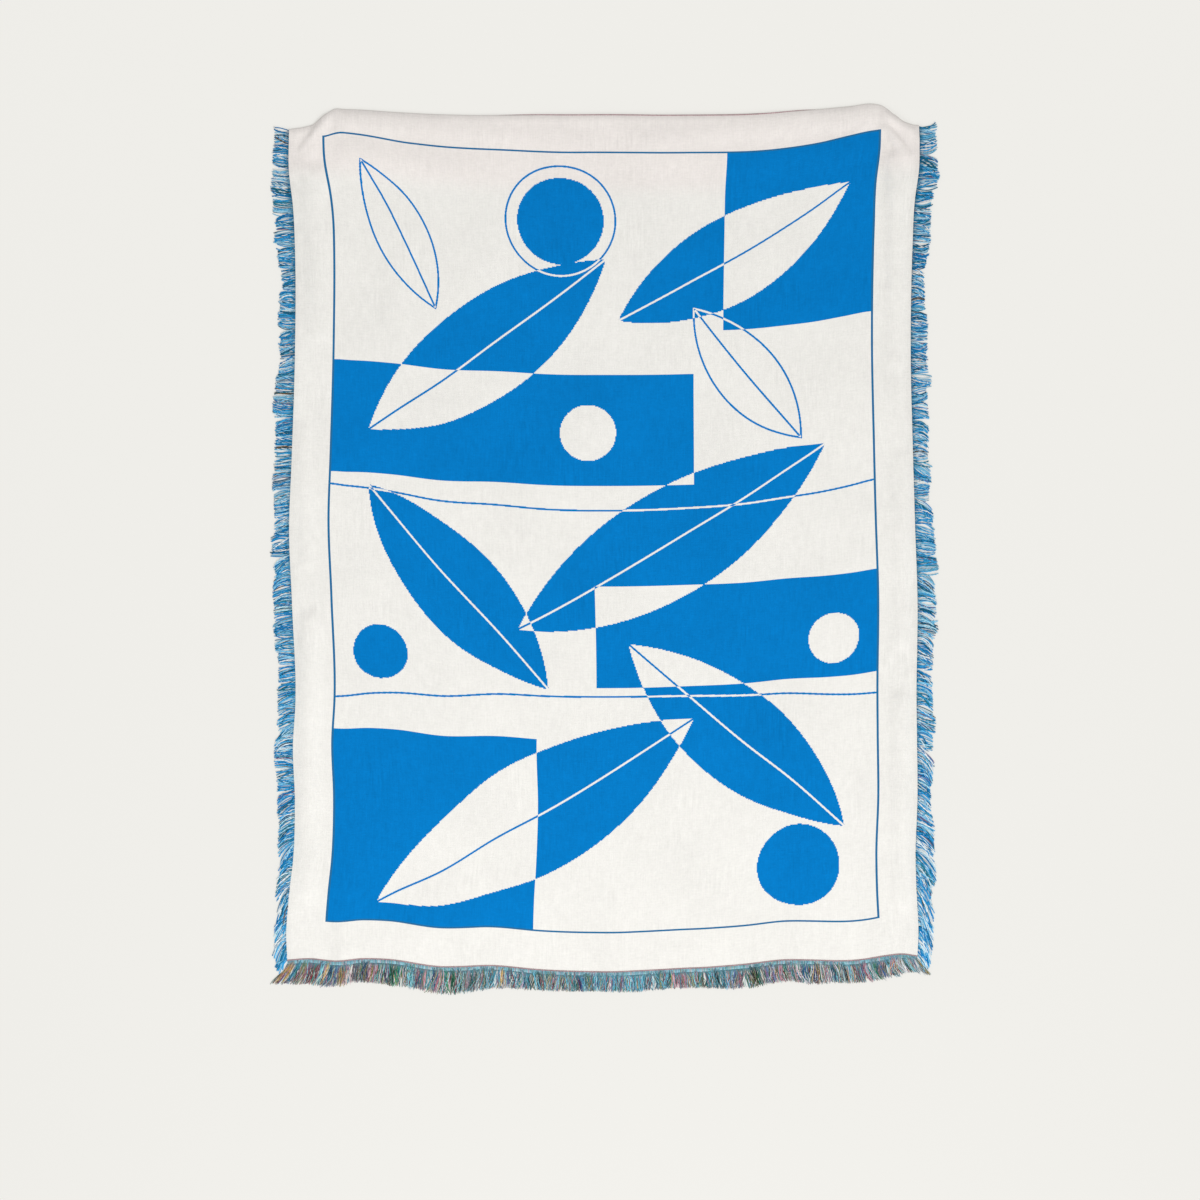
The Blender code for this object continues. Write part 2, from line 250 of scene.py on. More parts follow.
# Creases of the fine cloth alone, near the top corners and along the sides. A trough is negative
CREASES = named_rows(
    FOLD,
    (0.578, 0.838, 0.626, 0.786, 0.016, 0.0042, 0.0036),
    (0.606, 0.862, 0.654, 0.815, 0.014, 0.0050, 0.0044),
    (0.592, 0.848, 0.642, 0.799, 0.010, -0.0042, -0.0036),
    (0.566, 0.846, 0.574, 0.772, 0.011, 0.0020, 0.0000),
    (0.580, 0.832, 0.596, 0.764, 0.010, -0.0018, 0.0000),
    (-0.586, 0.842, -0.622, 0.800, 0.012, 0.0034, 0.0020),
    (-0.600, 0.848, -0.638, 0.806, 0.010, -0.0022, -0.0010),
    (-0.566, 0.842, -0.572, 0.768, 0.011, -0.0018, 0.0000),
    (-0.545, 0.838, -0.480, 0.792, 0.011, 0.0016, 0.0000),
    (0.540, 0.846, 0.470, 0.806, 0.011, 0.0016, 0.0000),
    (0.560, 0.589, 0.640, 0.590, 0.009, -0.0010, -0.0008),
    (0.566, 0.512, 0.640, 0.508, 0.010, 0.0008, 0.0006),
    (-0.640, 0.704, -0.575, 0.707, 0.010, 0.0008, 0.0006),
    (-0.638, 0.616, -0.578, 0.612, 0.009, -0.0009, -0.0006),
)

# Painted shade on the undyed cotton round the top fold and along the sides, where the rounded turn and the
# soft roll of the edges are shaded; and the cotton is warmer where the turned hem and its fringe lie behind
# it
EDGE_PAINTED_SHADE = 0.16
FOLD_SHADE = 0.014
SIDE_SHADE = 0.016
SIDE_SHADE_SHARE = 0.35
WARM = (1.0, 0.962, 0.968)
WARM_FROM = 1.60
WARM_OVER = 0.05

# The design, in flat metres: u across from the middle, v up from the bottom hem
WEAVE_STEP = 0.0022
LINE_STEP = 0.0009
LINE = 0.0020
FIELD_U = 0.563
FIELD_LOW = 0.080
FIELD_HIGH = 1.705
Block = namedtuple("Block", "u0 v0 u1 v1")
BLOCKS = (
    Block(-0.563, 0.080, -0.140, 0.480),
    Block(-0.020, 0.590, 0.563, 0.800),
    Block(-0.563, 1.010, 0.190, 1.240),
    Block(0.250, 1.330, 0.563, 1.705),
)
LEAVES = named_rows(
    "u v angle length width filled",
    (-0.140, 0.320, -58, 0.760, 0.230, 1),
    (0.270, 0.480, 48, 0.600, 0.190, 1),
    (-0.300, 0.785, 42, 0.540, 0.180, 1),
    (0.140, 0.890, -60, 0.740, 0.220, 1),
    (-0.240, 1.290, -52, 0.620, 0.200, 1),
    (0.300, 1.235, 38, 0.360, 0.130, 0),
    (0.270, 1.480, -62, 0.540, 0.180, 1),
    (-0.420, 1.510, 26, 0.320, 0.110, 0),
)
DISCS = named_rows(
    "u v radius filled",
    (-0.090, 1.560, 0.090, 1),
    (-0.090, 1.560, 0.114, 0),
    (0.400, 0.200, 0.085, 1),
    (0.470, 0.670, 0.052, 1),
    (-0.465, 0.640, 0.056, 1),
    (-0.030, 1.120, 0.058, 1),
)
STEMS = named_rows(
    "u0 v0 u1 v1 radius",
    (-0.563, 0.545, 0.563, 0.545, 6.0),
    (0.563, 0.985, -0.563, 0.985, 6.0),
)

# Where the held cloth draws the design out of line, near its top left corner
DRAWN = named_rows(
    "u v reach shift_u shift_v",
    (-0.563, 1.705, 0.200, 0.010, 0.000),
    (-0.515, 1.705, 0.120, 0.000, -0.0065),
    (-0.575, 1.705, 0.045, 0.000, 0.007),
)

# Colours, as the shaders' own linear values
WHITE = (0.83, 0.815, 0.775)
BLUE = (0.0015, 0.185, 0.53)
LINE_BLUE = (0.020, 0.150, 0.330)
SIDE_BLUES = (
    ((0.010, 0.23, 0.54), 25),
    ((0.035, 0.35, 0.68), 20),
    ((0.17, 0.51, 0.74), 20),
    ((0.40, 0.68, 0.84), 17),
    ((0.82, 0.86, 0.87), 8),
    ((0.010, 0.12, 0.22), 8),
    ((0.02, 0.20, 0.30), 7),
    ((0.18, 0.27, 0.36), 3),
    ((0.20, 0.13, 0.24), 1),
    ((0.15, 0.10, 0.05), 1),
)
WARP_COLOURS = (
    ((0.055, 0.24, 0.31), 15),
    ((0.20, 0.49, 0.56), 11),
    ((0.40, 0.18, 0.23), 11),
    ((0.24, 0.04, 0.06), 6),
    ((0.03, 0.19, 0.10), 13),
    ((0.24, 0.26, 0.11), 9),
    ((0.03, 0.09, 0.22), 7),
    ((0.17, 0.13, 0.28), 5),
    ((0.58, 0.61, 0.61), 9),
    ((0.66, 0.33, 0.38), 6),
    ((0.50, 0.34, 0.12), 5),
    ((0.02, 0.02, 0.025), 10),
    ((0.21, 0.26, 0.30), 9),
)
MIDDLE_BLUE = (0.13, 0.42, 0.56)
MIDDLE_AT = 0.05
MIDDLE_REACH = 0.60
MIDDLE_SHARE = 0.35
HEADING = (0.23, 0.45, 0.53)
STITCH = (0.46, 0.30, 0.32)
BRIGHTEST = 0.9

# The weave's pitch, and its unevenness: slubs of the weft and the warp, flecks, blotches and
# clouds, and bars in patches. The scales are across and along the cloth
WEAVE_PITCH = 0.0016
NOISES = named_rows(
    "scales detail roughness weight",
    ((45.0, 520.0, 0.0), 3.0, 0.5, 0.45),
    ((480.0, 28.0, 0.0), 3.0, 0.5, 0.50),
    ((230.0, 200.0, 0.0), 2.0, 0.6, 0.40),
    ((70.0, 48.0, 0.0), 3.0, 0.6, 0.45),
    ((7.0, 7.0, 0.0), 4.0, 0.5, 0.45),
)
BARS = (190.0, 16.0, 0.0)
PATCHES = 9.0

# The floor and the light
FLOOR_SIDE = 14.0
FLOOR_BELOW = 0.0002
FLOOR = (0.80, 0.79, 0.755)
FLOOR_EVENED = 1.2
FLOOR_LOW = 0.42
FLOOR_HIGH = 0.48
FLOOR_GLOW = 0.60
ROOM_LIGHT = 0.60
KEY_LIGHT = 1.15
LOW_LIGHT = 35.0

# The picture: its scale, the place that its middle looks at, and the camera's lens
METRES_PER_PIXEL = 0.00206
PICTURE_SIDE = 1200
PICTURE_MIDDLE = (-0.0078, -0.1282)
LENS = 80.0
SENSOR = 36.0


def read(table, column, at):
    """A table's column between its rows, on a smooth curve through them."""
    places = np.array([row[0] for row in table])
    values = np.array([getattr(row, column) for row in table], float)
    slopes = np.gradient(values, places)
    at = np.clip(at, places[0], places[-1])
    k = np.clip(np.searchsorted(places, at) - 1, 0, len(places) - 2)
    span = places[k + 1] - places[k]
    t = (at - places[k]) / span
    start = (1 + 2 * t) * (1 - t) ** 2 * values[k] + t * (1 - t) ** 2 * span * slopes[k]
    end = t**2 * (3 - 2 * t) * values[k + 1] - t**2 * (1 - t) * span * slopes[k + 1]
    return start + end


def ease(t):
    """A smooth step from 0 to 1."""
    t = np.clip(t, 0, 1)
    return t * t * (3 - 2 * t)


def fold_y(across):
    """The top fold's place along the throw."""
    return LENGTH / 2 + read(TOP_FOLD, "rise", across)


def low_y(across):
    """The bottom hem's place along the throw."""
    return -LENGTH / 2 - read(BOTTOM_HEM, "drop", across)


def turn_depth(across):
    """How far the hem reaches back under the panel."""
    return LEAST_TURN + read(TOP_FOLD, "turned", across)


def soft_folds(x, y):
    """The height of the soft folds and creases."""
    height = np.zeros_like(x)
    for fold in (*FOLDS, *CREASES):
        run_x, run_y = fold.x1 - fold.x0, fold.y1 - fold.y0
        along = ((x - fold.x0) * run_x + (y - fold.y0) * run_y) / (run_x**2 + run_y**2)
        along = np.clip(along, 0, 1)
        away = np.hypot(x - fold.x0 - along * run_x, y - fold.y0 - along * run_y)
        crest = fold.height0 + (fold.height1 - fold.height0) * along
        height += crest * np.maximum(0, 1 - (away / fold.half_width) ** 2) ** 2
    return np.maximum(height, 0)


def ripple(x, y):
    """The slight unevenness of woven cloth that has been folded and opened again."""
    waves = np.sin(31 * x + 3.1 * np.sin(7 * y)) * np.sin(17 * y + 2.3 * np.sin(9 * x))
    waves = waves + 0.6 * np.sin(74 * x + 2 * np.sin(13 * y + 1)) * np.sin(11 * y + 4 * x)
    return RIPPLE * np.clip(0.5 + 0.35 * waves, 0, 1)


def lift_over_hem(across, y):
    """How far the panel is raised by the hem and the fringe beneath it."""
    covered = turn_depth(across) + END_BAND + END_STRAND + LIFT_MARGIN
    slope_start = fold_y(across) - covered - LIFT_SLOPE
    return LIFT * ease((y - slope_start) / LIFT_SLOPE)


def panel_points(across, share):
    """Places on the panel's underside, across from -1 to 1 and along from 0 to 1."""
    across, share = np.broadcast_arrays(across, share)
    left = -HALF_WIDTH - read(SIDE_SWAY, "left", share)
    right = HALF_WIDTH + read(SIDE_SWAY, "right", share)
    x = left + (right - left) * (across + 1) / 2
    low = low_y(across)
    y = low + (fold_y(across) - low) * share
    z = soft_folds(x, y) + lift_over_hem(across, y) + ripple(x, y)
    return np.stack([x, y, z], -1)


def recentred(points):
    """The same points in the part's own frame, whose origin is the whole throw's middle."""
    return points + CENTRE_SHIFT


def centre_shift():
    """How far the form's own frame is from the part's: the panel's box says it."""
    edge = np.linspace(-1, 1, 2001)
    ends = np.linspace(0, 1, 2001)
    left = -HALF_WIDTH - read(SIDE_SWAY, "left", ends)
    right = HALF_WIDTH + read(SIDE_SWAY, "right", ends)
    low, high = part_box("throw_cloth")
    shift_x = (low.x + high.x) / 2 - (left.min() + right.max()) / 2
    return np.array([shift_x, low.y - low_y(edge).min(), 0.0])


CENTRE_SHIFT = centre_shift()


def add_object(name, data):
    """A new object in the scene."""
    thing = bpy.data.objects.new(name, data)
    bpy.context.scene.collection.objects.link(thing)
    return thing


def add_mesh(name, points, faces):
    """A smooth mesh object whose faces point outwards."""
    data = bpy.data.meshes.new(name)
    data.from_pydata(points, [], faces)
    work = bmesh.new()
    work.from_mesh(data)
    work.normal_update()
    bmesh.ops.recalc_face_normals(work, faces=work.faces)
    work.to_mesh(data)
    work.free()
    data.shade_smooth()
    return add_object(name, data)


def grid_faces(rows, columns):
    """The faces of a sheet of points that has rows by columns of them."""
    index = np.arange(rows * columns).reshape(rows, columns)
    corners = (index[:-1, :-1], index[:-1, 1:], index[1:, 1:], index[1:, :-1])
    return np.stack(corners, -1).reshape(-1, 4)


def border_of(rows, columns):
    """The points round a sheet's border, in order."""
    index = np.arange(rows * columns).reshape(rows, columns)
    return np.concatenate([index[0, :-1], index[:-1, -1], index[-1, :0:-1], index[:0:-1, 0]])


def cloth_rows(across, upper):
    """The panel's points and flat lengths, from the bottom hem round the fold to its edge."""
    share = np.linspace(0, 1, ROWS + 1)
    share = share + DENSER_TOP * share * (1 - share)
    main = panel_points(across[None, :], share[:, None])
    fold_z = main[-1, :, 2]
    main = main + np.array([0, 0, THICKNESS * upper])
    span = fold_y(across) - low_y(across)
    total = span + turn_depth(across)
    lengths = [share[:, None] * span[None, :]]
    rows = [main]
    x, y = main[-1, :, 0], main[-1, :, 1]
    radius = (fold_z - THICKNESS) / 2 + THICKNESS * upper
    middle = (fold_z + THICKNESS) / 2
    for angle in np.radians(np.linspace(90, -90, FOLD_STEPS + 1)[1:]):
        rows.append(np.stack([x, y + radius * np.cos(angle), middle + radius * np.sin(angle)], -1)[None])
        lengths.append(span[None, :])
    for k in range(1, HEM_STEPS + 1):
        back = k / HEM_STEPS * turn_depth(across)
        rows.append(np.stack([x, y - back, np.full_like(x, THICKNESS * (1 - upper))], -1)[None])
        lengths.append((span + back)[None, :])
    flat = np.concatenate(lengths) * FLAT_LENGTH / total
    return np.concatenate(rows), flat


def drawn_out(flat):
    """Flat places on the cloth, moved where the design is out of line."""
    drawn = flat.copy()
    for spot in DRAWN:
        away = np.hypot(flat[:, 0] - spot.u, flat[:, 1] - spot.v)
        near = np.maximum(0, 1 - (away / spot.reach) ** 2) ** 2
        drawn += near[:, None] * (spot.shift_u, spot.shift_v)
    return drawn


def make_cloth():
    """The woven panel as one closed sheet, with its flat measures as a UV map."""
    across = np.linspace(-1, 1, COLUMNS + 1)
    across = across + DENSER_SIDES * across * (1 - across**2)
    under, flat = cloth_rows(across, 0)
    upper, _ = cloth_rows(across, 1)
    rows, columns = under.shape[:2]
    count = rows * columns
    points = recentred(np.concatenate([upper.reshape(-1, 3), under.reshape(-1, 3)]))
    sheet = grid_faces(rows, columns)
    border = border_of(rows, columns)
    after = np.roll(border, -1)
    rim = np.stack([border, after, after + count, border + count], -1)
    faces = np.concatenate([sheet, sheet[:, ::-1] + count, rim])
    cloth = add_mesh("woven_throw", points, faces)
    cloth.data.set_sharp_from_angle(angle=math.radians(60))
    measures = drawn_out(np.stack([np.tile(across * HALF_WIDTH, rows), flat.ravel()], -1))
    measures = np.tile(measures, (2, 1))
    corners = np.empty(len(cloth.data.loops), np.int32)
    cloth.data.loops.foreach_get("vertex_index", corners)
    layer = cloth.data.uv_layers.new(name="flat")
    layer.uv.foreach_set("vector", measures[corners].astype(np.float32).ravel())
    cloth.data.materials.append(woven_material("woven_face", reverse=False))
    cloth.data.materials.append(woven_material("woven_back", reverse=True))
    # The tint holds painted shade round the top fold and along the sides, and warmth over the turned hem
    shade_and_warmth = painted_shade_and_warmth(across, fold_y(across) - under[..., 1], flat)
    add_tints(cloth, np.concatenate([shade_and_warmth, shade_and_warmth]))
    sides = np.zeros(len(faces), np.int32)
    sides[len(sheet) : 2 * len(sheet)] = 1
    cloth.data.polygons.foreach_set("material_index", sides)
    return cloth


def painted_shade_and_warmth(across, from_fold, flat):
    """Painted shade on the undyed cotton round its top fold and side edges, and how much warmer it is over
    the turned hem.
    """
    near_fold = 1 - ease(from_fold / FOLD_SHADE)
    near_side = SIDE_SHADE_SHARE * (1 - ease((1 - np.abs(across)) * HALF_WIDTH / SIDE_SHADE))
    edge_shade = EDGE_PAINTED_SHADE * np.maximum(near_fold, near_side)
    warmer = ease((flat - WARM_FROM) / WARM_OVER)[..., None] * (1 - np.array(WARM))
    return ((1 - edge_shade)[..., None] * (1 - warmer)).reshape(-1, 3)


class Nodes:
    """Short ways to wire up a material's nodes."""

    def __init__(self, name):
        self.material = bpy.data.materials.new(name)
        self.material.use_nodes = True
        self.tree = self.material.node_tree

    def new(self, kind):
        return self.tree.nodes.new("ShaderNode" + kind)

    def plug(self, value, socket):
        """Links a socket to another one, or sets its value."""
        if isinstance(value, bpy.types.NodeSocket):
            self.tree.links.new(value, socket)
        else:
            socket.default_value = value

    def surface(self, name, value):
        """Sets what the surface is like."""
        self.plug(value, self.tree.nodes["Principled BSDF"].inputs[name])

    def worked_out(self, kind, operation, values):
        node = self.new(kind)
        node.operation = operation
        for value, socket in zip(values, node.inputs):
            self.plug(value, socket)
        return node

    def maths(self, operation, *values):
        return self.worked_out("Math", operation, values).outputs[0]

    def vector(self, operation, *values, output=0):
        """What an operation makes of places: output 1 is a distance or a product."""
        return self.worked_out("VectorMath", operation, values).outputs[output]

    def scaled(self, colour, factor):
        node = self.worked_out("VectorMath", "SCALE", [colour])
        self.plug(factor, node.inputs["Scale"])
        return node.outputs[0]

    def mixed(self, factor, first, second, blend="MIX"):
        node = self.new("Mix")
        node.data_type = "RGBA"
        node.blend_type = blend
        self.plug(factor, node.inputs["Factor"])
        for value, socket in ((first, node.inputs[6]), (second, node.inputs[7])):
            self.plug((*value, 1.0) if isinstance(value, tuple) else value, socket)
        return node.outputs[2]

    def noise(self, place, scale, detail=2.0, roughness=0.5):
        """A noise's value and colour. Its scale can differ along the three axes."""
        if isinstance(scale, tuple):
            place, scale = self.vector("MULTIPLY", place, scale), 1.0
        node = self.new("TexNoise")
        self.plug(place, node.inputs["Vector"])
        node.inputs["Scale"].default_value = scale
        node.inputs["Detail"].default_value = detail
        node.inputs["Roughness"].default_value = roughness
        return node.outputs["Fac"], node.outputs["Color"]

    def spread(self, value, low, high, to_low=0.0, to_high=1.0):
        node = self.new("MapRange")
        for number, socket in zip((value, low, high, to_low, to_high), node.inputs):
            self.plug(number, socket)
        return node.outputs[0]

    def bump(self, height, distance, strength, normal=None):
        node = self.new("Bump")
        node.inputs["Strength"].default_value = strength
        node.inputs["Distance"].default_value = distance
        self.plug(height, node.inputs["Height"])
        if normal is not None:
            self.plug(normal, node.inputs["Normal"])
        return node.outputs["Normal"]

    def tint(self):
        """The colour that each point of the mesh has."""
        node = self.new("Attribute")
        node.attribute_name = "tint"
        return node.outputs["Color"]


def inside_block(n, u, v, block):
    """1 inside a rectangle and 0 outside it."""
    middle_u, half_u = (block.u0 + block.u1) / 2, (block.u1 - block.u0) / 2
    middle_v, half_v = (block.v0 + block.v1) / 2, (block.v1 - block.v0) / 2
    within_u = n.maths("COMPARE", u, middle_u, half_u)
    within_v = n.maths("COMPARE", v, middle_v, half_v)
    return n.maths("MULTIPLY", within_u, within_v)


def leaf_masks(n, place, fine, leaf):
    """A leaf between two arcs, and its midrib. An unfilled one has only its outline."""
    if not leaf.filled:
        place = fine
    turn = math.radians(leaf.angle)
    side = (math.cos(turn), math.sin(turn))
    radius = (leaf.length**2 + leaf.width**2) / (4 * leaf.width)
    back = radius - leaf.width / 2
    reaches = []
    for sign in (-1, 1):
        middle = (leaf.u + sign * back * side[0], leaf.v + sign * back * side[1], 0.0)
        reaches.append(n.vector("DISTANCE", place, middle, output=1))
    reach = n.maths("MAXIMUM", *reaches)
    whole = n.maths("LESS_THAN", reach, radius)
    offset = leaf.u * side[0] + leaf.v * side[1]
    along = n.vector("DOT_PRODUCT", fine, (side[0], side[1], 0.0), output=1)
    rib = n.maths("MULTIPLY", n.maths("COMPARE", along, offset, LINE), whole)
    if leaf.filled:
        return [whole, rib]
    return [n.maths("COMPARE", reach, radius, LINE), rib]


def disc_mask(n, place, disc):
    """A disc, or only its outline."""
    reach = n.vector("DISTANCE", place, (disc.u, disc.v, 0.0), output=1)
    if disc.filled:
        return n.maths("LESS_THAN", reach, disc.radius)
    return n.maths("COMPARE", reach, disc.radius, LINE)


def stem_mask(n, place, stem):
    """A thin line on a wide arc between two places."""
    run_u, run_v = stem.u1 - stem.u0, stem.v1 - stem.v0
    length = math.hypot(run_u, run_v)
    run_u, run_v, half = run_u / length, run_v / length, length / 2
    back = math.sqrt(stem.radius**2 - half**2)
    middle = ((stem.u0 + stem.u1) / 2 + back * run_v, (stem.v0 + stem.v1) / 2 - back * run_u, 0.0)
    reach = n.vector("DISTANCE", place, middle, output=1)
    line = n.maths("COMPARE", reach, stem.radius, LINE)
    along = n.vector("DOT_PRODUCT", place, (run_u, run_v, 0.0), output=1)
    start = stem.u0 * run_u + stem.v0 * run_v
    return n.maths("MULTIPLY", line, n.maths("COMPARE", along, start + half, half))


def split(n, place):
    """The three measures of a place."""
    node = n.new("SeparateXYZ")
    n.plug(place, node.inputs[0])
    return node.outputs[0], node.outputs[1], node.outputs[2]


def stepped(n, flat, step):
    """Flat measures in whole weave steps."""
    place = n.vector("SNAP", flat, (step, step, 1.0))
    return n.vector("ADD", place, (step / 2, step / 2, 0.0))


def design(n, flat):
    """1 where the design is blue, as leaves, discs and blocks that change colour where they cross.

    The second value is 1 on the border line alone.
    """
    place = stepped(n, flat, WEAVE_STEP)
    fine = stepped(n, flat, LINE_STEP)
    u, v, _ = split(n, place)
    masks = [inside_block(n, u, v, block) for block in BLOCKS]
    for leaf in LEAVES:
        masks += leaf_masks(n, place, fine, leaf)
    masks += [disc_mask(n, place if disc.filled else fine, disc) for disc in DISCS]
    masks += [stem_mask(n, fine, stem) for stem in STEMS]
    total = masks[0]
    for mask in masks[1:]:
        total = n.maths("ADD", total, mask)
    changed = n.maths("PINGPONG", total, 1.0)
    u, v, _ = split(n, fine)
    field = Block(-FIELD_U, FIELD_LOW, FIELD_U, FIELD_HIGH)
    within = inside_block(n, u, v, field)
    inner = Block(-FIELD_U + 2 * LINE, FIELD_LOW + 2 * LINE, FIELD_U - 2 * LINE, FIELD_HIGH - 2 * LINE)
    line = n.maths("SUBTRACT", within, inside_block(n, u, v, inner))
    return n.maths("MAXIMUM", n.maths("MULTIPLY", changed, within), line), line


def woven_material(name, reverse):
    """Two-colour jacquard cotton: slubs, flecks and a fine weave over the design."""
    n = Nodes(name)
    uv = n.new("UVMap")
    uv.uv_map = "flat"
    flat = uv.outputs[0]
    blue, line = design(n, flat)
    if reverse:
        blue = n.maths("SUBTRACT", 1.0, blue)
    noises = [n.noise(flat, kind.scales, kind.detail, kind.roughness) for kind in NOISES]
    (weft, _), (warp, _), (_, tints), _, _ = noises
    bars, _ = n.noise(flat, BARS)
    patch, _ = n.noise(flat, PATCHES)
    uneven = n.maths("MULTIPLY", n.spread(bars, 0.35, 0.65, -0.75, 0.5), n.spread(patch, 0.48, 0.68))
    for (value, _), kind in zip(noises, NOISES):
        uneven = n.maths("ADD", uneven, n.spread(value, 0.3, 0.7, -kind.weight, kind.weight))
    shade = n.spread(uneven, -1.5, 1.5, 0.90, 1.06)
    white = n.mixed(0.045, n.scaled(WHITE, shade), tints, "OVERLAY")
    # The tint adds painted shade round the top fold and along the sides, and warmth over the turned hem
    white = n.mixed(1.0, white, n.tint(), "MULTIPLY")
    dyed = n.scaled(BLUE, n.spread(uneven, -1.5, 1.5, 0.86, 1.14))
    lined = n.mixed(line, dyed, n.scaled(LINE_BLUE, shade))
    n.surface("Base Color", n.mixed(blue, white, lined))
    n.surface("Roughness", 0.95)
    n.surface("Specular IOR Level", n.spread(blue, 0.0, 1.0, 0.12, 0.03))
    turns = 2 * math.pi / WEAVE_PITCH
    waves = [n.maths("SINE", n.maths("MULTIPLY", measure, turns)) for measure in split(n, flat)[:2]]
    fine = n.bump(n.maths("MULTIPLY", *waves), 0.0002, 0.35)
    slubs = n.bump(n.maths("ADD", weft, warp), 0.0007, 0.5, fine)
    n.surface("Normal", slubs)
    return n.material


def yarn_material(name, fuzz):
    """Matt cotton yarn, coloured by its own tint, with fine fibres."""
    n = Nodes(name)
    place = n.new("TexCoord").outputs["Object"]
    fibre, _ = n.noise(place, fuzz, 3.0, 0.6)
    shade = n.spread(fibre, 0.3, 0.7, 0.78, 1.15)
    n.surface("Base Color", n.scaled(n.tint(), shade))
    n.surface("Roughness", 0.9)
    n.surface("Specular IOR Level", 0.15)
    n.surface("Normal", n.bump(fibre, 0.0002, 0.6))
    return n.material


def add_tints(thing, tints):
    """Gives each point of a mesh its own colour."""
    layer = thing.data.color_attributes.new("tint", "FLOAT_COLOR", "POINT")
    colours = np.concatenate([tints, np.ones((len(tints), 1))], -1)
    layer.data.foreach_set("color", colours.astype(np.float32).ravel())


UP = np.array([0.0, 0.0, 1.0])


def unit(runs):
    """The same directions, with a length of one."""
    return runs / np.linalg.norm(runs, axis=-1, keepdims=True)


def tube_mesh(name, centres, radii, tints, material, root=None):
    """Closed four-sided tubes along rows of centres, one colour for each, and another at the root."""
    count, steps = centres.shape[:2]
    tangent = unit(np.gradient(centres, axis=1))
    aside = np.cross(tangent, UP)
    aside /= np.maximum(np.linalg.norm(aside, axis=-1, keepdims=True), 1e-9)
    upward = np.cross(aside, tangent)
    ring = []
    for quarter in range(4):
        angle = (quarter + 0.5) * math.pi / 2
        ring.append(centres + radii[..., None] * (math.cos(angle) * aside + math.sin(angle) * upward))
    points = np.stack(ring, 2).reshape(-1, 3)
    index = np.arange(count * steps * 4).reshape(count, steps, 4)
    after = np.roll(index, -1, axis=2)
    sides = np.stack([index[:, :-1], after[:, :-1], after[:, 1:], index[:, 1:]], -1).reshape(-1, 4)
    faces = np.concatenate([sides, index[:, 0], index[:, -1, ::-1]])
    thing = add_mesh(name, recentred(points), faces)
    tints = np.repeat(tints[:, None, :], steps, axis=1)
    # At the root the tint blends into another colour: painted shade for the side yarns, the heading's teal
    # for the warp ends
    if root is not None:
        fading = 1 - ease(np.linspace(0, 1, steps) / root.reach)
        near = np.reshape(root.share, (-1, 1, 1)) * fading[:, None]
        tints = tints * (1 - near) + np.array(root.colour) * near
    add_tints(thing, np.repeat(tints.reshape(-1, 3), 4, axis=0))
    thing.data.materials.append(material)
    return thing


def pick(source, palette, count):
    """Colours at random from a palette with weights."""
    weights = np.array([weight for _, weight in palette], float)
    found = source.choice(len(palette), count, p=weights / weights.sum())
    return np.array([colour for colour, _ in palette])[found]


def gathered(source, travelled, length, widths):
    """Each yarn's clump, how far it is past the clump's middle, and a count for every clump."""
    ends = [0.0]
    while ends[-1] < length:
        ends.append(ends[-1] + source.uniform(*widths))
    ends = np.array(ends)
    clump = np.searchsorted(ends, travelled, side="right") - 1
    return clump, travelled - (ends[clump] + ends[clump + 1]) / 2, len(ends)


# How far yarns stray, a clump's together and each alone: lean in radians, bow and sway in metres
SIDE_LEAN = (0.15, 0.09)
SIDE_BOW = (0.0026, 0.0014)
WARP_LEAN = (0.14, 0.12)
WARP_BOW = (0.0018, 0.0014)
WARP_SWAY = (0.0011, 0.0006)


def strayed(source, clump, kinds, amounts):
    """How far each yarn strays from its usual way."""
    together, alone = amounts
    return source.normal(0, together, kinds)[clump] + source.normal(0, alone, len(clump))


# How yarns lie: they settle into a layer from their roots, and sink at their tips
SIDE_SETTLE = 0.35
WARP_SETTLE = 0.40
SINK_FROM = 0.6
SINK = 0.6
FLOOR_GAP = 0.0001


def settled(start, layer, low, t, settle_by):
    """The heights of yarns that run from their roots into a layer, and sink from there."""
    settle = ease(t / settle_by)
    height = start[:, None] * (1 - settle) + layer[:, None] * settle
    drop = ease((t - SINK_FROM) / (1 - SINK_FROM))
    return height * (1 - drop) + ((1 - SINK) * layer[:, None] + SINK * low) * drop


def tapered(radius, t, thin_from, thinner):
    """The radius of a yarn that grows thinner towards its tip."""
    return radius * (1 - thinner * ease((t - thin_from) / (1 - thin_from)))


# The side yarns: two-ply ones, and plain ones under them
Yarns = namedtuple("Yarns", "count steps radius twist low high upper_share pinch unruly least most")
TWISTED = Yarns(500, 16, 0.00098, 0.00080, 0.0026, 0.0038, 0.6, 0.45, 1.0, 0.87, 0.99)
UNDER = Yarns(930, 9, 0.00120, 0.0, 0.00130, 0.00140, 0.5, 0.05, 0.35, 0.90, 0.98)
TWIST_PITCH = 0.015
ROOT_UP = (0.0010, 0.0016)
LAYER_UNEVEN = 0.0005
CROWDING = 1.08
CORNER_SHARE = 0.035
CORNER_LEAN = math.radians(20)
STEEPEST = math.radians(76)
CLUMP_WIDTH = (0.006, 0.019)
CLUMP_REACH = (0.94, 1.03)

# The locks that the clumps make up, steadier next to the top fold
LOCK_SEEDS = {"left": 31, "right": 32}
LOCK_WIDTH = (0.024, 0.052)
LOCK_REACH = (0.84, 1.08)
LOCK_LEAN = 0.12
LOCK_HOOK = 0.0030
LOCK_PINCH = 0.26
STEADY_SHARE = 0.05

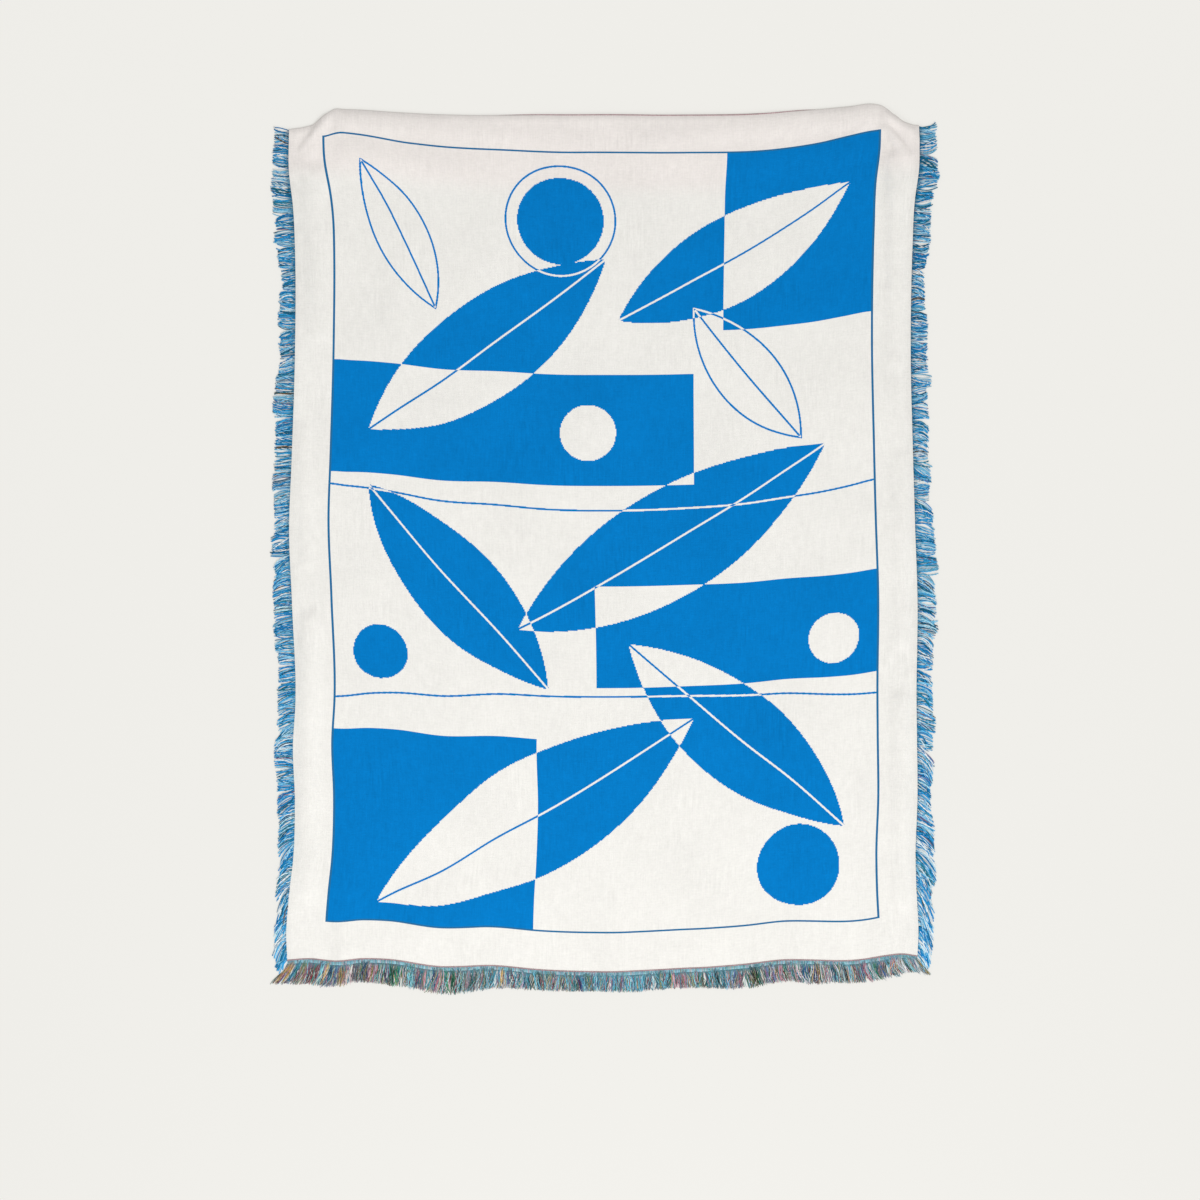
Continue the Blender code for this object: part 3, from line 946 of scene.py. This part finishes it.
# Their colours: some follow their clump's, paler ones lie low, painted shade grows towards the top fold
# where the light falls off, and the roots carry painted shade where the yarns crowd at the cloth's edge
LEADING_SHARE = 0.25
PALE_YARN = (0.74, 0.83, 0.88)
PALE_LOW = {"left": 0.06, "right": 0.30}
PALE_REACH = 0.45
LOW_SHADE = 1.08
TOP_PAINTED_SHADE = 0.22
SAME_PLY = 0.6
PLY_SHADES = (0.75, 1.25)
UNDER_SHADES = (0.7, 1.1)
Root = namedtuple("Root", "colour share reach")
SIDE_ROOT_SHADE = Root((0.004, 0.060, 0.120), 0.60, 0.32)
LOW_ROOT_SHADE = 0.25


def side_yarns(side, yarns, name, seed):
    """The weft ends along a side, in clumps that droop towards the bottom hem."""
    source = np.random.default_rng(seed)
    locks = np.random.default_rng(LOCK_SEEDS[side])
    sign = -1.0 if side == "left" else 1.0
    count = yarns.count
    share = ((np.arange(count) + source.uniform(0.1, 0.9, count)) / count) ** CROWDING
    root = panel_points(sign, share)
    travelled = share * LENGTH
    clump, past, kinds = gathered(source, travelled, LENGTH, CLUMP_WIDTH)
    lock, past_lock, lock_kinds = gathered(locks, travelled, LENGTH, LOCK_WIDTH)
    lock_reach = locks.uniform(*LOCK_REACH, lock_kinds)[lock]
    lock_lean = locks.normal(0, LOCK_LEAN, lock_kinds)[lock]
    lock_hook = locks.normal(0, LOCK_HOOK, lock_kinds)[lock]
    steady = ease((1 - share) / STEADY_SHARE)
    usual = np.radians(read(SIDE_REACH, side + "_lean", share))
    lean = usual + yarns.unruly * strayed(source, clump, kinds, SIDE_LEAN)
    lean = lean + lock_lean * steady
    lean = lean + CORNER_LEAN * source.random(count) * (1 - ease(share / CORNER_SHARE))
    lean = np.clip(lean, -STEEPEST, STEEPEST)
    reach = read(SIDE_REACH, side, share) * source.uniform(*CLUMP_REACH, kinds)[clump]
    reach = reach * source.uniform(yarns.least, yarns.most, count) * lock_reach
    reach = reach * np.minimum(np.cos(lean) / np.cos(usual), 1.0)
    pinch = source.uniform(0, yarns.pinch, kinds)[clump]
    bow = strayed(source, clump, kinds, SIDE_BOW)
    upper = source.random(count) < yarns.upper_share
    layer = np.where(upper, yarns.high, yarns.low) + source.uniform(0, LAYER_UNEVEN, count)
    t = np.linspace(0, 1, yarns.steps)[None, :]
    out = reach[:, None] * (t + BULGE_OUT * t * (1 - t))
    down = (reach * np.tan(lean))[:, None] * (t - LAG_ASIDE * t * (1 - t))
    down = down + (past * pinch)[:, None] * t**1.3
    down = down + (past_lock * LOCK_PINCH)[:, None] * t**2
    down = down + (lock_hook * steady)[:, None] * t**3
    down = down + bow[:, None] * np.sin(math.pi * t) + (bow * 0.8)[:, None] * t**3
    start = root[:, 2] + source.uniform(*ROOT_UP, count)
    lowest = yarns.radius + yarns.twist + FLOOR_GAP
    height = np.maximum(settled(start, layer, lowest, t, SIDE_SETTLE), lowest)
    centre = np.stack([root[:, 0, None] + sign * (PIECE_GAP + out), root[:, 1, None] - down, height], -1)
    thin = tapered(yarns.radius, t, thin_from=0.9, thinner=0.3)
    colours = side_colours(source, side, share, clump, kinds)
    material = yarn_material(name + "_yarn", fuzz=2600.0)
    # The roots carry painted shade where the yarns crowd against the cloth's edge, less of it towards the
    # bottom hem
    root_shade_share = SIDE_ROOT_SHADE.share * (LOW_ROOT_SHADE + (1 - LOW_ROOT_SHADE) * share)
    if not yarns.twist:
        colours = colours * source.uniform(*UNDER_SHADES, (count, 1))
        return tube_mesh(name, centre, thin, colours, material, SIDE_ROOT_SHADE._replace(share=root_shade_share))
    others = pick(source, SIDE_BLUES, count)
    same = source.random(count) < SAME_PLY
    others = np.where(same[:, None], colours * source.uniform(*PLY_SHADES, (count, 1)), others)
    turns = reach[:, None] * t * 2 * math.pi / TWIST_PITCH + source.uniform(0, 7, count)[:, None]
    tints = np.clip(np.concatenate([colours, others]), 0, BRIGHTEST)
    painted_root_shade = SIDE_ROOT_SHADE._replace(share=np.tile(root_shade_share, 2))
    return tube_mesh(name, two_plies(centre, turns, yarns.twist), thin, tints, material, painted_root_shade)


def side_colours(source, side, share, clump, kinds):
    """The side yarns' colours, with more of the pale ones towards the bottom hem, and painted shade that
    grows towards the top fold.
    """
    colours = pick(source, SIDE_BLUES, len(share))
    leading = pick(source, SIDE_BLUES, kinds)
    follows = source.random(len(share)) < LEADING_SHARE
    colours = np.where(follows[:, None], leading[clump], colours)
    paler = source.random(len(share)) < PALE_LOW[side] * (1 - share / PALE_REACH)
    # Painted shade grows from the bottom hem towards the top fold, where the light falls off
    return np.where(paler[:, None], PALE_YARN, colours) * (LOW_SHADE - TOP_PAINTED_SHADE * share)[:, None]


def two_plies(centre, turns, apart):
    """The centres of the two plies that wind round each yarn's own centre."""
    slope = unit(np.gradient(centre[..., :2], axis=1))
    normal = np.stack([-slope[..., 1], slope[..., 0], np.zeros_like(turns)], -1)
    plies = []
    for half in (0.0, math.pi):
        swing = np.cos(turns + half)[..., None] * normal
        lift = np.sin(turns + half)[..., None] * UP
        plies.append(centre + apart * (swing + lift))
    return np.concatenate(plies)


# The warp ends: fine ones, broader ones under them, and those of the hidden fringe
Ends = namedtuple("Ends", "count steps radius low high pinch early dark exposed")
WARP_UPPER = Ends(1900, 7, 0.00058, 0.0018, 0.0036, 0.55, 0.62, 1.0, True)
# The broader ends under the fine ones are dimmed by painted shade, where the fine ends over them shade them
WARP_UNDER = Ends(1250, 6, 0.00085, 0.0010, 0.0016, 0.10, 0.0, 0.65, True)
WARP_HIDDEN = Ends(760, 6, 0.00055, 0.0007, 0.0013, 0.3, 0.0, 1.0, False)
WARP_STEEPEST = math.radians(41)
WARP_CLUMP_WIDTH = (0.003, 0.011)
WARP_CLUMP_REACH = (0.95, 1.04)
WARP_REACH = (0.89, 1.02)
WARP_LAG = 0.3
WARP_ROOT = Root((0.170, 0.390, 0.470), 0.55, 0.24)

# Where they leave the heading, near its lower edge or earlier and on top of it, and how high
LEAVES_AT = (0.0062, 0.0082)
LEAVES_EARLY_AT = (0.0018, 0.0060)
EARLY_SHARE = 0.6
LEAVES_UP = 0.0014
EARLY_UP = 0.0022

# How bright single ends and whole clumps are beside their colour
END_SHADES = (0.6, 1.45)
CLUMP_SHADES = (0.58, 1.34)
MIDDLE_SHADES = (0.5, 1.5)
FOLLOWING = 0.5


def warp_ends(name, edge, warp, lean_share, seed):
    """Warp ends beyond a hem: thin yarns of many colours in small clumps."""
    source = np.random.default_rng(seed)
    count = warp.count
    rim, places = edge(count)
    width = 2 * HALF_WIDTH
    travelled = (places + 1) / 2 * width
    clump, past, kinds = gathered(source, travelled, width, WARP_CLUMP_WIDTH)
    lean = np.radians(read(END_LEAN, "angle", places) * lean_share)
    lean = lean + strayed(source, clump, kinds, WARP_LEAN)
    lean = np.clip(lean, -WARP_STEEPEST, WARP_STEEPEST)
    begin = source.uniform(*LEAVES_AT, count)
    early = (source.random(kinds) < warp.early)[clump] & (source.random(count) < EARLY_SHARE)
    begin = np.where(early, source.uniform(*LEAVES_EARLY_AT, count), begin)
    length = read(END_REACH, "length", places) if warp.exposed else END_STRAND
    length = length * source.uniform(*WARP_CLUMP_REACH, kinds)[clump] * source.uniform(*WARP_REACH, count)
    length = length + END_BAND - begin
    pinch = source.uniform(0, warp.pinch, kinds)[clump]
    bow = strayed(source, clump, kinds, WARP_BOW)
    sway = strayed(source, clump, kinds, WARP_SWAY)
    layer = source.uniform(warp.low, warp.high, count)
    t = np.linspace(0, 1, warp.steps)[None, :]
    down = PIECE_GAP + begin[:, None] + length[:, None] * t
    aside = (length * np.tan(lean))[:, None] * (t - WARP_LAG * t * (1 - t))
    aside = aside - (past * pinch)[:, None] * t
    aside = aside + bow[:, None] * np.sin(math.pi * t) + sway[:, None] * np.sin(2 * math.pi * t)
    start = rim[:, 2] + np.where(early, EARLY_UP + 0.4 * warp.radius, LEAVES_UP)
    height = np.maximum(settled(start, layer, warp.low, t, WARP_SETTLE), warp.radius + FLOOR_GAP)
    centre = np.stack([rim[:, 0, None] + aside, rim[:, 1, None] - down, height], -1)
    thin = tapered(warp.radius, t, thin_from=0.7, thinner=0.4)
    # Each layer's colours are dimmed by its painted shade
    colours = np.clip(warp_colours(source, places, clump, kinds) * warp.dark, 0, BRIGHTEST)
    material = yarn_material(name + "_yarn", fuzz=3000.0)
    return tube_mesh(name, centre, thin, colours, material, WARP_ROOT)


def warp_colours(source, places, clump, kinds):
    """The warp ends' colours, with more blue ones about the middle of the hem."""
    count = len(clump)
    leading = pick(source, WARP_COLOURS, kinds)
    colours = pick(source, WARP_COLOURS, count)
    follows = source.random(count) < FOLLOWING
    colours = np.where(follows[:, None], leading[clump], colours) * source.uniform(*END_SHADES, (count, 1))
    chance = MIDDLE_SHARE * ease((MIDDLE_REACH - np.abs(places - MIDDLE_AT)) / MIDDLE_REACH)
    bluer = np.array(MIDDLE_BLUE) * source.uniform(*MIDDLE_SHADES, (count, 1))
    colours = np.where((source.random(count) < chance)[:, None], bluer, colours)
    return colours * source.uniform(*CLUMP_SHADES, (kinds, 1))[clump]


# The heading's section, out from the hem and up from the floor, and how bright each place is
HEADING_SECTION = named_rows(
    "out up shade",
    (0.0, 0.0001, 1.0),
    (0.0, 0.0017, 1.05),
    (0.0012, 0.0021, 1.08),
    (0.0040, 0.0022, 1.12),
    (0.0068, 0.0019, 1.30),
    (END_BAND, 0.0012, 1.1),
    (END_BAND, 0.0001, 0.7),
)
RIB = 0.00018
RAGGED = (-0.0006, 0.0012)
WARP_IN_HEADING = 0.70
RIB_SHADES = (0.72, 1.15)
CORNER_SHADES = (0.75, 1.15)


def heading(name, rim, seed):
    """The woven band that the warp ends leave: ribbed, teal, with a hint of each warp colour."""
    source = np.random.default_rng(seed)
    count = len(rim)
    rib = RIB * (np.arange(count) % 2) + source.uniform(0, 0.0001, count)
    rows = []
    for place in HEADING_SECTION:
        raised = place.up + (rib if place.up > 0.001 else 0)
        ragged = source.uniform(*RAGGED, count) if place.out == END_BAND else 0
        y = rim[:, 1] - PIECE_GAP - place.out - ragged
        rows.append(np.stack([rim[:, 0], y, rim[:, 2] + raised], -1))
    points = np.stack(rows)
    index = np.arange(len(rows) * count).reshape(len(rows), count)
    after = np.roll(index, -1, axis=0)
    faces = np.stack([index[:, :-1], index[:, 1:], after[:, 1:], after[:, :-1]], -1).reshape(-1, 4).tolist()
    faces += [index[:, 0].tolist(), index[::-1, -1].tolist()]
    band = add_mesh(name, recentred(points.reshape(-1, 3)), faces)
    warp = pick(source, WARP_COLOURS, count)
    share = source.uniform(0, WARP_IN_HEADING, (count, 1))
    tints = np.array(HEADING) * (1 - share) + warp * share
    tints = tints * source.uniform(*RIB_SHADES, (count, 1))
    tints = np.stack(
        [tints * source.uniform(*CORNER_SHADES, (count, 1)) * place.shade for place in HEADING_SECTION]
    )
    add_tints(band, np.clip(tints.reshape(-1, 3), 0, BRIGHTEST))
    band.data.materials.append(yarn_material(name + "_weave", fuzz=2200.0))
    return band


# The locking stitches, and how they lie at the top fold and the bottom hem
STITCH_COUNT = round(2 * HALF_WIDTH / 0.0038)
STITCH_LENGTH = 0.0046
STITCH_RADIUS = 0.00080
STITCH_SPLAY = 0.46
STITCH_ARCH = 0.0005
STITCH_SHADES = (0.8, 1.25)
STITCH_ANGLE = math.radians(70)
STITCH_TURNS_BY = 0.0035
STITCH_BACK = 0.0008
STITCH_LOWEST = 0.0014
STITCH_AT = 0.0003
STITCH_UP = 0.0002


def stitches(name, line, lift):
    """A row of locking stitches: pairs of slanting threads that cross along the line."""
    middles = np.repeat(line, 2, axis=0)
    slant = np.tile([1.0, -1.0], len(line))[:, None]
    direction = np.repeat(unit(np.gradient(line, axis=0)), 2, axis=0)
    normal = np.stack([-direction[:, 1], direction[:, 0], np.zeros(len(direction))], -1)
    t = np.linspace(-0.5, 0.5, 6)
    reach = direction[:, None, :] * (STITCH_LENGTH * t[None, :, None])
    aside = normal[:, None, :] * (slant * STITCH_LENGTH * STITCH_SPLAY * t[None, :])[..., None]
    arch = (np.cos(math.pi * t) * STITCH_ARCH)[None, :, None] * np.repeat(lift, 2, axis=0)[:, None, :]
    centres = middles[:, None, :] + reach + aside + arch
    radii = STITCH_RADIUS * (0.55 + 0.45 * np.cos(math.pi * t))
    source = np.random.default_rng(77)
    tints = np.array(STITCH) * source.uniform(*STITCH_SHADES, (len(middles), 1))
    return tube_mesh(name, centres, radii, tints, yarn_material(name + "_thread", fuzz=3200.0))


def spaced(count):
    """Places across, evenly spaced between the edges."""
    return (np.arange(count) + 0.5) / count * 2 - 1


def bottom_rim(count):
    """Points along the bottom hem's edge, and their places across."""
    places = spaced(count)
    return panel_points(places, 0.0), places


def top_rim(count):
    """Points along the turned hem's edge, on the floor below the panel."""
    places = spaced(count)
    edge = panel_points(places, 1.0)
    return np.stack([edge[:, 0], edge[:, 1] - turn_depth(places), np.zeros(count)], -1), places


def bottom_stitches():
    """The dusty red line just above the heading."""
    places = spaced(STITCH_COUNT)
    line = panel_points(places, STITCH_AT) + np.array([0, 0, THICKNESS + STITCH_UP])
    return stitches("hem_stitch_bottom", line, np.tile(UP, (STITCH_COUNT, 1)))


def top_stitches():
    """The same line at the other hem, which runs round the top fold and on below it."""
    places = spaced(STITCH_COUNT)
    edge = panel_points(places, 1.0)
    radius = (edge[:, 2] - THICKNESS) / 2 + THICKNESS
    middle = (edge[:, 2] + THICKNESS) / 2
    past = turn_depth(places) - LEAST_TURN
    angle = STITCH_ANGLE - past / STITCH_TURNS_BY
    round_fold = angle > -math.pi / 2
    angle = np.maximum(angle, -math.pi / 2)
    outward = np.stack([np.zeros(STITCH_COUNT), np.cos(angle), np.sin(angle)], -1)
    back = np.where(round_fold, 0, turn_depth(places) - STITCH_BACK)
    line = np.stack([edge[:, 0], edge[:, 1] - back, middle], -1) + outward * radius[:, None]
    line[:, 2] = np.maximum(line[:, 2], STITCH_LOWEST)
    return stitches("hem_stitch_top", line, outward)


def make_floor():
    """A plain pale floor, evened out so that the light falling off doesn't show on it."""
    bpy.ops.mesh.primitive_plane_add(size=FLOOR_SIDE, location=(0, 0, -FLOOR_BELOW))
    floor = bpy.context.object
    floor.name = "floor"
    n = Nodes("pale_floor")
    _, y, _ = split(n, n.new("TexCoord").outputs["Object"])
    evened = n.spread(y, -FLOOR_EVENED, FLOOR_EVENED, FLOOR_LOW, FLOOR_HIGH)
    n.surface("Base Color", n.scaled(FLOOR, evened))
    n.surface("Emission Color", (*FLOOR, 1.0))
    n.surface("Emission Strength", FLOOR_GLOW)
    n.surface("Roughness", 1.0)
    n.surface("Specular IOR Level", 0.0)
    floor.data.materials.append(n.material)


def add_light(name, kind, place, target, size, power):
    """A soft studio light that faces a place."""
    data = bpy.data.lights.new(name, kind)
    if kind == "SUN":
        data.angle = size
    else:
        data.size = size
    data.energy = power
    light = add_object(name, data)
    light.location = place
    light.rotation_euler = (Vector(target) - Vector(place)).to_track_quat("-Z", "Y").to_euler()


def make_studio():
    """Even light from the whole room, and softer lights from the sides."""
    world = bpy.data.worlds.new("studio")
    bpy.context.scene.world = world
    world.use_nodes = True
    background = world.node_tree.nodes["Background"]
    background.inputs["Color"].default_value = (1, 1, 1, 1)
    background.inputs["Strength"].default_value = ROOM_LIGHT
    add_light("key", "SUN", (0.8, -0.9, 1.9), (0, 0, 0), math.radians(25), KEY_LIGHT)
    add_light("low", "AREA", (0.1, -2.4, 2.6), (0, -0.7, 0), 2.4, LOW_LIGHT)


def make_camera():
    """Straight down, with the whole picture's width in view."""
    data = bpy.data.cameras.new("camera")
    data.lens = LENS
    data.sensor_width = SENSOR
    camera = add_object("camera", data)
    height = METRES_PER_PIXEL * PICTURE_SIDE * LENS / SENSOR
    camera.location = Vector((*PICTURE_MIDDLE, height)) + Vector(CENTRE_SHIFT)
    bpy.context.scene.camera = camera


def main():
    """Builds the pieces, and says what each rides on, replaces and is made of."""
    make_camera()
    make_studio()
    make_floor()
    cloth = make_cloth()
    left = side_yarns("left", TWISTED, "weft_fringe_left", seed=5)
    right = side_yarns("right", TWISTED, "weft_fringe_right", seed=8)
    bottom = warp_ends("warp_fringe_bottom", bottom_rim, WARP_UPPER, lean_share=1.0, seed=12)
    top = warp_ends("warp_fringe_top", top_rim, WARP_HIDDEN, lean_share=-0.6, seed=13)
    wefts = [
        left,
        right,
        side_yarns("left", UNDER, "weft_under_left", seed=6),
        side_yarns("right", UNDER, "weft_under_right", seed=9),
    ]
    warps = [
        bottom,
        top,
        warp_ends("warp_under_bottom", bottom_rim, WARP_UNDER, lean_share=1.0, seed=16),
        heading("heading_bottom", bottom_rim(1000)[0], seed=14),
        heading("heading_top", top_rim(700)[0], seed=15),
        bottom_stitches(),
        top_stitches(),
    ]
    for piece in (cloth, *wefts, *warps):
        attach(piece, "root")
    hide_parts("throw_cloth")
    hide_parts("fringe_left")
    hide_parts("fringe_right")
    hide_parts("fringe_bottom")
    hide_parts("fringe_top")


main()
bpy.context.scene.view_settings.view_transform = "Standard"
